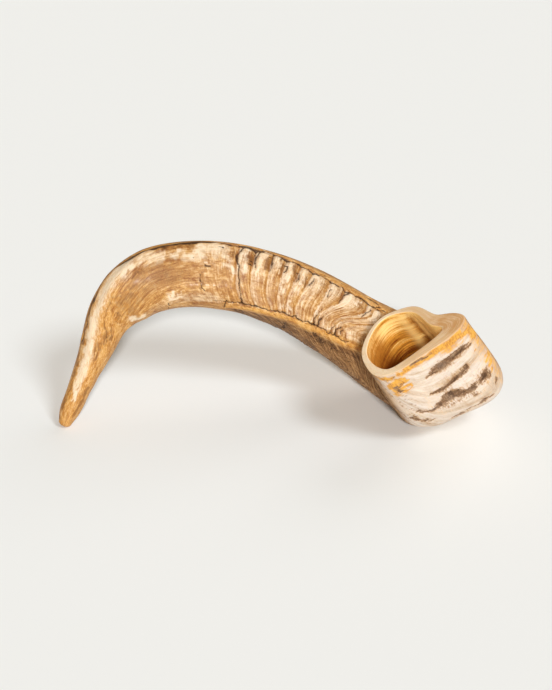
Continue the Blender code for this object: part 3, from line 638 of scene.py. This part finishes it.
def paintMasks(f):
    # the fields, carried over all rows of the grid, and 0 where a field has no meaning
    def spreadOut(field):
        whole = np.zeros((rowCount, aroundCount + 1))
        whole[domeCount:domeCount + outerCount] = field
        whole[:domeCount] = field[:1]
        return whole

    m = SimpleNamespace()
    s, u = ss[domeCount:domeCount + outerCount], uu[domeCount:domeCount + outerCount]
    side, share = f.side, f.share
    ridged = zone(s, "ridgedColour")
    crown = bump(u, 2.75, .8)
    # painted light: each growth ridge paler on its flank toward the tip, most near the crown; it joins the cream
    # strokes in the cream mask
    litFlank = ridged * side * (1 - share) ** 1.1 * (.40 + .42 * crown)
    pale = np.maximum(f.cream * (.72 + .28 * (1 - smooth(s, 112, 135))), litFlank)
    pale += .25 * zone(u, "lowSide") * zone(s, "paleArch")
    m.cream = pale + side * (.08 * zone(s, "paleLimb") + .16 * bump(s, 166, 16))
    m.amber = np.max([.80 * (1 - smooth(s, 80, 150)), .8 * f.strip, .9 * f.band ** 2], axis=0)
    m.gold = np.maximum(f.mouthAmber, .4 * bump(apart(u, 11.75), 0, .35) * smooth(s, 388, 402))
    m.gold += .22 * f.band ** 3
    m.gold += f.curl * (.10 * smooth(u, 10.3, 11.1) + .12 * smooth(s, 440, 452))
    brownArch = zone(s, "brownArch") * zone(u, "brownSide")
    m.brown = np.max([f.brown * .85, .55 * f.hookWide, .55 * brownArch], axis=0)
    m.brown += .45 * zone(s, "brownCrest") * bump(apart(u, 1.75), 0, .35)
    # painted shade: each growth ridge browner on its mouthward half near the crown
    m.brown += .55 * np.maximum(share - .5, 0) * ridged * crown + .10 * side * zone(s, "brownLimb")
    # dark colour laid into cracks, grooves, creases and fine lines
    m.soot = np.max([f.keelLine, f.hooks, f.bandLine, f.dashes, .68 * f.crease ** 1.2, f.under * .8,
                            f.bunch * .35, f.core * .75], axis=0)
    # painted shade spread beside the growth creases, with brown along the fine line bunch
    m.warm = np.maximum(f.crease * 1.2, f.bunch * .9)
    m.below = f.below * (1 - f.band)
    m.back = zone(u, "backFace") * smooth(s, 60, 150) * (1 - f.curl)
    m.neck = m.below * smooth(s, 262, 330)
    m.face = np.maximum(f.curl, .85 * smooth(s, 375, 400) * zone(u, "faceEdge"))
    m.rough = np.maximum(f.rough, .5 * f.roughWide)
    m.side = side * smooth(s, 150, 200) * (1 - smooth(s, 285, 330) * .8)
    m.ticks = ridged * zone(share, "tickShare") * bump(u, 2.75, .42)
    m = SimpleNamespace(**{name: spreadOut(np.clip(field, 0, 1.5)) for name, field in vars(m).items()})
    m.rim = np.repeat(rimRow[:, None], aroundCount + 1, 1)
    m.corner = m.rim * bump(apart(uu, .3), 0, 1.4)
    m.leftSide = m.rim * zone(uu, "leftRim")
    m.inside = np.repeat(insideRow[:, None], aroundCount + 1, 1)
    # how deep in the hollow; the hollow's colours darken along it as painted shade
    m.depth = np.clip((length - ss) / 60, 0, 1) * m.inside
    # painted shade on the hollow's left wall
    m.leftWall = m.inside * zone(uu, "leftWall")
    wavy = uu + .12 * softNoise(61, ss * .09)
    # painted light on a lobe at the right of the hollow
    m.lobe = m.inside * smooth(uu, .2, .8) * (1 - smooth(wavy, 3.3, 3.6))
    # painted shadow along the fold and a second dark line near it, with painted light beside it
    reached = zone(ss, "foldReach") * m.inside
    fold = bump(wavy, hornShape["foldPlace"], hornShape["foldWidth"])
    m.fold = reached * np.maximum(fold, .7 * bump(wavy, 3.05, .12))
    m.foldLight = reached * bump(wavy, 3.95, .26)
    return vars(m)


masks = paintMasks(fields)

# where the material's noises are read: centimetres of growth along the horn, and a circle round it
flowMap = {"circle": 2.6, "rimFrom": 57, "rimWidth": 1.5, "insideFrom": 60}
turn = uu * 2 * np.pi / placeCount
flow = np.stack([gg / 10, flowMap["circle"] * np.cos(turn), flowMap["circle"] * np.sin(turn)], -1)
flow[insideRow > 0, :, 0] = (length - ss[insideRow > 0]) / 10 + flowMap["insideFrom"]
flow[rimRow > 0, :, 0] = flowMap["rimFrom"] + np.linspace(0, flowMap["rimWidth"], rimCount)[:, None]


def wrapGrid():
    # a plain grid, one column round and one row along, wrapped into the horn
    bm = bmesh.new()
    bm.loops.layers.uv.new("hornMap")
    bmesh.ops.create_grid(bm, x_segments=aroundCount, y_segments=rowCount - 1, size=1, calc_uvs=True)
    mesh = bpy.data.meshes.new("hornSkin")
    bm.to_mesh(mesh)
    bm.free()
    flat = np.empty(len(mesh.vertices) * 3)
    mesh.vertices.foreach_get("co", flat)
    flat = flat.reshape(-1, 3)
    column = np.rint((flat[:, 0] + 1) / 2 * aroundCount).astype(int)
    row = np.rint((flat[:, 1] + 1) / 2 * (rowCount - 1)).astype(int)
    mesh.vertices.foreach_set("co", (rows[row, column] / metre).ravel())
    for name, values in masks.items():
        layer = mesh.attributes.new(name, "FLOAT", "POINT")
        layer.data.foreach_set("value", values[row, column].astype(np.float32))
    layer = mesh.attributes.new("flow", "FLOAT_VECTOR", "POINT")
    layer.data.foreach_set("vector", flow[row, column].astype(np.float32).ravel())
    bm = bmesh.new()
    bm.from_mesh(mesh)
    bmesh.ops.remove_doubles(bm, verts=bm.verts, dist=hornShape["weld"])
    bmesh.ops.recalc_face_normals(bm, faces=bm.faces)
    for f in bm.faces:
        f.smooth = True
    openEdges = sum(1 for e in bm.edges if e.is_boundary)
    print("horn skin:", len(bm.faces), "faces,", openEdges, "open edges")
    bm.to_mesh(mesh)
    bm.free()
    return mesh


hornSkin = wrapGrid()
horn = bpy.data.objects.new("hornSkin", hornSkin)
bpy.context.scene.collection.objects.link(horn)


class Wire:
    # a socket that takes part in sums
    def __init__(self, finish, socket):
        self.finish = finish
        self.socket = socket

    def sum(self, operation, a, b):
        return self.finish.node("ShaderNodeMath", {"operation": operation}, {0: a, 1: b})

    def __add__(self, other):
        return self.sum("ADD", self, other)

    def __radd__(self, other):
        return self.sum("ADD", other, self)

    def __sub__(self, other):
        return self.sum("SUBTRACT", self, other)

    def __rsub__(self, other):
        return self.sum("SUBTRACT", other, self)

    def __mul__(self, other):
        return self.sum("MULTIPLY", self, other)

    def __rmul__(self, other):
        return self.sum("MULTIPLY", other, self)

    def between(self, low, high):
        # 0 below low, 1 above high, smooth in between
        return self.finish.node("ShaderNodeMapRange", {"interpolation_type": "SMOOTHSTEP"},
                                {"Value": self, "From Min": low, "From Max": high})


class Finish:
    def __init__(self, name):
        self.material = bpy.data.materials.new(name)
        self.material.use_nodes = True
        self.tree = self.material.node_tree
        self.shader = self.tree.nodes["Principled BSDF"]

    def plug(self, socket, value):
        if isinstance(value, Wire):
            self.tree.links.new(value.socket, socket)
        else:
            socket.default_value = value

    def node(self, kind, settings=None, inputs=None, output=0):
        made = self.tree.nodes.new(kind)
        for key, value in (settings or {}).items():
            if key == "stops":
                ramp = made.color_ramp.elements
                while len(ramp) < len(value):
                    ramp.new(.5)
                for stop, (place, colour) in zip(ramp, value):
                    stop.position = place
                    stop.color = colour
            else:
                setattr(made, key, value)
        for key, value in (inputs or {}).items():
            self.plug(made.inputs[key], value)
        return Wire(self, made.outputs[output])

    def attribute(self, name, output="Fac"):
        return self.node("ShaderNodeAttribute", {"attribute_name": name}, output=output)

    def noise(self, where, scale, detail, rough, twist):
        placed = self.node("ShaderNodeMapping", inputs={"Vector": where, "Scale": scale})
        return self.node("ShaderNodeTexNoise", inputs={"Vector": placed, "Scale": 1.0, "Detail": detail,
                                                       "Roughness": rough, "Distortion": twist})

    def ramp(self, value, name):
        stops = [(place, colours[colour]) for place, colour in ramps[name]]
        return self.node("ShaderNodeValToRGB", {"stops": stops}, {"Fac": value})

    def mix(self, share, a, b):
        # a plain colour is given by its name
        a, b = (colours[c] if isinstance(c, str) else c for c in (a, b))
        return self.node("ShaderNodeMix", {"data_type": "RGBA"}, {0: share, 6: a, 7: b}, 2)

    def feed(self, values):
        for key, value in values.items():
            self.plug(self.shader.inputs[key], value)


def tint(seen):
    # a colour as seen on screen, 0 to 255, as light
    seen = np.array(seen) / 255
    light = np.where(seen < .04045, seen / 12.92, ((seen + .055) / 1.055) ** 2.4)
    return (*light.tolist(), 1.0)


seenColours = {
    "tanDark": (138, 82, 34),
    "tan": (188, 135, 70),
    "tanLight": (235, 199, 146),
    "cream": (240, 222, 194),
    "creamWarm": (224, 188, 140),
    "amber": (198, 138, 62),
    "amberDark": (144, 82, 26),
    "amberLight": (230, 190, 122),
    "gold": (228, 166, 58),
    "goldDark": (180, 104, 22),
    "brown": (146, 92, 38),
    "brownDark": (98, 58, 20),
    # the under side: its own grey-brown, made darker still as painted shade
    "below": (120, 80, 42),
    "belowDark": (56, 34, 16),
    "belowLight": (184, 140, 92),
    "crease": (54, 30, 12),
    "face": (208, 184, 158),
    "faceLight": (226, 210, 194),
    "faceDark": (176, 138, 102),
    "dirt": (62, 38, 22),
    "dirtHalo": (188, 138, 86),
    "dirtMid": (118, 82, 52),
    "dirtGrey": (120, 104, 90),
    "dirtLight": (186, 148, 108),
    "rim": (218, 178, 130),
    "rimPale": (238, 212, 176),
    "rimWarm": (200, 148, 92),
    # the hollow's colours: the pale ones are painted light toward the mouth and on the lobe, the darkest are
    # painted shade deep inside, on the left wall and along the fold
    "insideLight": (248, 210, 132),
    "inside": (212, 146, 52),
    "insideDeep": (118, 54, 2),
    "wallLight": (226, 174, 100),
    "wall": (180, 112, 30),
    "lobe": (204, 132, 38),
    "wallDeep": (98, 40, 3),
}
colours = {name: tint(seen) for name, seen in seenColours.items()}


# colour ramps: place along the ramp, colour
ramps = {
    "body": [(.40, "tanDark"), (.52, "tan"), (.64, "tanLight")],
    "amber": [(.36, "amberDark"), (.50, "amber"), (.64, "amberLight")],
    "face": [(.36, "faceDark"), (.46, "face"), (.55, "faceLight")],
    "cream": [(.36, "creamWarm"), (.56, "cream")],
    "gold": [(.40, "goldDark"), (.54, "gold")],
    "brown": [(.40, "brownDark"), (.60, "brown")],
    "below": [(.42, "belowDark"), (.50, "below"), (.60, "belowLight")],
    "dirt": [(.42, "dirt"), (.50, "dirtMid"), (.60, "dirtLight")],
    # the hollow's ramps: painted light near the mouth, painted shade deeper in
    "inside": [(.0, "insideLight"), (.38, "inside"), (.88, "insideDeep")],
    "wall": [(.0, "wallLight"), (.16, "wall"), (.55, "wallDeep")],
}

# noises: scale along the growth and across it, detail, roughness, twist
grains = {
    "growthLines": ((6.5, .55, .55), 4, .70, .25),
    "fineLines": ((17, 1.6, 1.6), 3, .70, .2),
    "fibres": ((.9, 6.0, 6.0), 4, .70, .4),
    "fineFibres": ((2.2, 17, 17), 3, .70, .2),
    "patches": ((.8, .9, .9), 4, .62, .6),
    "blotches": ((2.4, 2.4, 2.4), 5, .66, .8),
    "specks": ((11, 11, 11), 3, .66, .0),
    "faceLines": ((1.7, .22, .22), 4, .62, .5),
    "streaks": ((5.5, .9, .9), 4, .68, .4),
    "hatch": ((2.0, 8, 8), 4, .72, .7),
    "insideRings": ((3.4, .30, .30), 4, .60, .15),
}

surface = {
    # painted glow: how strongly the hollow gives off its own colour
    "Emission Strength": .16,
    "Coat Roughness": .18,
    "Subsurface Weight": .08,
    "Subsurface Radius": (1.0, .55, .25),
    "Subsurface Scale": .003,
    "Specular IOR Level": .3,
}
fibreBump = {"Strength": .6, "Distance": .0007}


def stirred(share, *noises):
    # a share made uneven by noises, each with its weight
    for noise, weight in noises:
        share = share + (noise - .5) * weight
    return share


# k makes the nodes, on holds the masks and n the noises
def hornTone(k, on, n):
    # tan and amber horn, and the face under the mouth
    tone = n.grain * .42 + n.fineGrain * .34 + n.patches * .22 + n.blotches * .28 - .13
    tone = tone + on.back * ((n.patches - .5) * .5 + .03)
    body = k.ramp(tone, "body")
    amberShare = stirred(on.amber, (n.patches, 1.2), (n.grain, .6), (n.specks, .4)).between(.20, .85)
    flecks = (n.blotches * .6 + n.specks * .4).between(.46, .62)
    amberTone = k.mix(flecks * .45, k.ramp(tone, "amber"), "creamWarm")
    faceTone = k.ramp(n.faceLines * .45 + n.fineLines * .20 + n.blotches * .25 + n.fineFibres * .10, "face")
    return k.mix(on.face, k.mix(amberShare, body, amberTone), faceTone)


def paleLayers(k, on, n, layer):
    # cream washes, with painted light on the growth ridges' tip-side flanks, and golden mottling
    creamShare = on.cream + on.back * .20 + on.side * (n.growthLines - .47) * 1.1
    creamShare = stirred(creamShare, (n.blotches, .8), (n.specks, .4), (n.grain, .5)).between(.02, .98)
    layer = k.mix(creamShare * .85, layer, k.ramp(n.fineGrain * .6 + n.blotches * .4, "cream"))
    goldShare = stirred(on.gold, (n.blotches, 1.2), (n.fineFibres, .6), (n.patches, .6)).between(.0, .80)
    return k.mix(goldShare * .95, layer, k.ramp(n.fineGrain * .5 + n.blotches * .5, "gold"))


def darkLayers(k, on, n, layer):
    # brown stains, painted shade on the growth ridges and beside the creases, the under side (its own grey-brown,
    # darkened with painted shade), dark rough stripes, and dark colour in cracks and creases
    brownShare = stirred(on.brown, (n.blotches, 1.1), (n.specks, .7), (n.fineGrain, .9)).between(.25, .95)
    layer = k.mix(brownShare * .8, layer, k.ramp(n.fineGrain * .5 + n.fibres * .5, "brown"))
    # painted shade beside the creases, with brown on the fine line bunch
    warmTone = k.mix(.4, "brown", "amberDark")
    layer = k.mix(stirred(on.warm, (n.fineGrain, .9)).between(.2, 1.0) * .65, layer, warmTone)
    # the under side's grey-brown, darkened with painted shade
    belowTone = k.ramp(n.streaks * .58 + n.fibres * .17 + n.fineFibres * .25 + on.neck * .06 - .01, "below")
    layer = k.mix(on.below * .92, layer, belowTone)
    dirtTone = k.ramp(n.hatch * .35 + n.fineLines * .15 + n.fineFibres * .15 + n.blotches * .35, "dirt")
    greyShare = (n.patches * .6 + n.blotches * .4).between(.46, .58)
    dirtTone = k.mix(greyShare * .45, dirtTone, "dirtGrey")
    layer = k.mix(n.ragged.between(.18, .60) * .70, layer, "dirtHalo")
    layer = k.mix(n.ragged.between(.42, .82) * .92, layer, dirtTone)
    layer = k.mix((on.ticks * (n.hatch - .42) * 4).between(.2, .8) * .55, layer, "brownDark")
    return k.mix(n.soot * .88, layer, "crease")


def hollowTone(k, on, n):
    # the hollow with painted light and shade: paler at the mouth and painted shade deeper in, painted shade on the
    # left wall, a lobe on the right paled with painted light, and a painted shadow along the fold with painted
    # light beside it
    ringShare = (n.insideRings - .5) * (1 - on.leftWall * .8) * (1 - on.lobe * .8) * 2.6
    reach = stirred(on.depth + ringShare, (n.fineFibres, .35), (n.blotches, .25))
    tone = k.mix(on.leftWall * .9, k.ramp(reach, "inside"), k.ramp(reach, "wall"))
    tone = k.mix(on.lobe * .8, tone, "insideLight")
    tone = k.mix(on.lobe * n.fineFibres.between(.4, .7) * .6, tone, "lobe")
    tone = k.mix(on.foldLight * .75, tone, "insideLight")
    return k.mix(on.fold * (n.fineFibres + .35).between(.5, .9) * .7, tone, "insideDeep")


def rimTone(k, on, n):
    warmShare = stirred(on.corner, (n.blotches, .8), (n.patches, .8)).between(.2, .9)
    paleShare = on.leftSide * (n.blotches * 1.6 - .2).between(.2, .8)
    tone = k.mix(paleShare, k.mix(warmShare, "rim", "rimWarm"), "rimPale")
    return k.mix((n.growthLines * .6 + n.fineLines * .4).between(.44, .60) * .45, tone, "rimPale")


def keratinFinish():
    k = Finish("keratin")
    where = k.attribute("flow", "Vector")
    on = SimpleNamespace(**{name: k.attribute(name) for name in masks})
    n = SimpleNamespace(**{name: k.noise(where, *values) for name, values in grains.items()})
    across = on.side + on.back * .55
    n.grain = across * n.growthLines + (1 - across) * n.fibres
    n.fineGrain = on.side * (n.fineLines * .6 + n.fineFibres * .4)
    n.fineGrain = n.fineGrain + (1 - on.side) * (n.fineFibres * .7 + n.fineLines * .3)
    n.ragged = stirred(on.rough, (n.hatch, 1.7), (n.specks, .9))
    n.soot = stirred(on.soot * (n.blotches * .9 + .55), (n.specks, .5), (n.fineGrain, .35)).between(.34, .92)
    layer = darkLayers(k, on, n, paleLayers(k, on, n, hornTone(k, on, n)))
    insideTone = hollowTone(k, on, n)
    layer = k.mix(on.rim, k.mix(on.inside, layer, insideTone), rimTone(k, on, n))
    dull = n.ragged.between(.3, .7)
    height = n.growthLines * on.side * .5 + n.fineLines * .22 + n.fibres * .28 + n.fineFibres * .2 + n.specks * .15
    height = height + n.streaks * on.below * .8 - n.ragged.between(.3, .8) * n.hatch * 1.2 - n.soot * .4
    height = height * (1 - on.rim * .92) * (1 - on.inside * .5)
    grainBump = k.node("ShaderNodeBump", inputs={"Height": height, **fibreBump})
    roughness = .46 + n.specks * .16 + dull * .28 + n.soot * .25 + on.below * .12 - on.rim * .06
    # painted glow: the hollow gives off its own colour, standing in for light through the horn
    paintedGlow = k.mix(on.inside, (0, 0, 0, 1), insideTone)
    k.feed({"Base Color": layer, "Roughness": roughness, "Normal": grainBump, "Coat Weight": (1 - dull) * .07,
            "Emission Color": paintedGlow})
    k.feed(surface)
    return k.material


hornSkin.materials.append(keratinFinish())
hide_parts("horn")
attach(horn, "root")
print("horn finished")

# floor, light and camera
studio = {
    "floorSize": 8.0,
    "floorColour": (.871, .863, .823),
    "floorRoughness": .9,
    "frontFrom": (.045, -.866, .5),
    "frontStrength": 2.72,
    "frontColour": (.947, .968, 1.0),
    "frontSoftness": .09,
    "keyFrom": (.437, -.540, .719),
    "keyStrength": 1.42,
    "keyColour": (.825, .912, 1.0),
    "keySoftness": .28,
    "sideFrom": (.5, .5, .707),
    "sideStrength": .60,
    "sideColour": (.95, .95, 1.0),
    "sideSoftness": .75,
    "skyColour": (1.0, .81, .57, 1),
    "skyStrength": .19,
    "target": (-.00234, .02049, .05225),
    "distance": 1.5,
    "elevation": 30.0,
    "lens": 105.7,
    "sensorWidth": 36,
}

floorMesh = bpy.data.meshes.new("floor")
bm = bmesh.new()
bmesh.ops.create_grid(bm, x_segments=1, y_segments=1, size=studio["floorSize"] / 2)
bm.to_mesh(floorMesh)
bm.free()
floor = bpy.data.objects.new("floor", floorMesh)
floorFinish = Finish("floorPaper")
floorFinish.feed({"Base Color": (*studio["floorColour"], 1), "Roughness": studio["floorRoughness"],
                  "Specular IOR Level": 0})
floorMesh.materials.append(floorFinish.material)
bpy.context.scene.collection.objects.link(floor)

for name in ("front", "key", "side"):
    lamp = bpy.data.lights.new(name, "SUN")
    lamp.energy = studio[name + "Strength"]
    lamp.color = studio[name + "Colour"]
    lamp.angle = studio[name + "Softness"]
    light = bpy.data.objects.new(name, lamp)
    light.rotation_euler = Vector(studio[name + "From"]).to_track_quat("Z", "Y").to_euler()
    bpy.context.scene.collection.objects.link(light)

world = bpy.data.worlds.new("studio")
bpy.context.scene.world = world
world.use_nodes = True
sky = world.node_tree.nodes["Background"].inputs
sky["Color"].default_value = studio["skyColour"]
sky["Strength"].default_value = studio["skyStrength"]

cameraData = bpy.data.cameras.new("camera")
cameraData.lens = studio["lens"]
cameraData.sensor_width = studio["sensorWidth"]
camera = bpy.data.objects.new("camera", cameraData)
tilt = np.radians(studio["elevation"])
back = Vector((0, -np.cos(tilt), np.sin(tilt)))
camera.location = Vector(studio["target"]) + back * studio["distance"]
camera.rotation_euler = back.to_track_quat("Z", "Y").to_euler()
bpy.context.scene.collection.objects.link(camera)
bpy.context.scene.camera = camera
bpy.context.scene.view_settings.view_transform = "Standard"
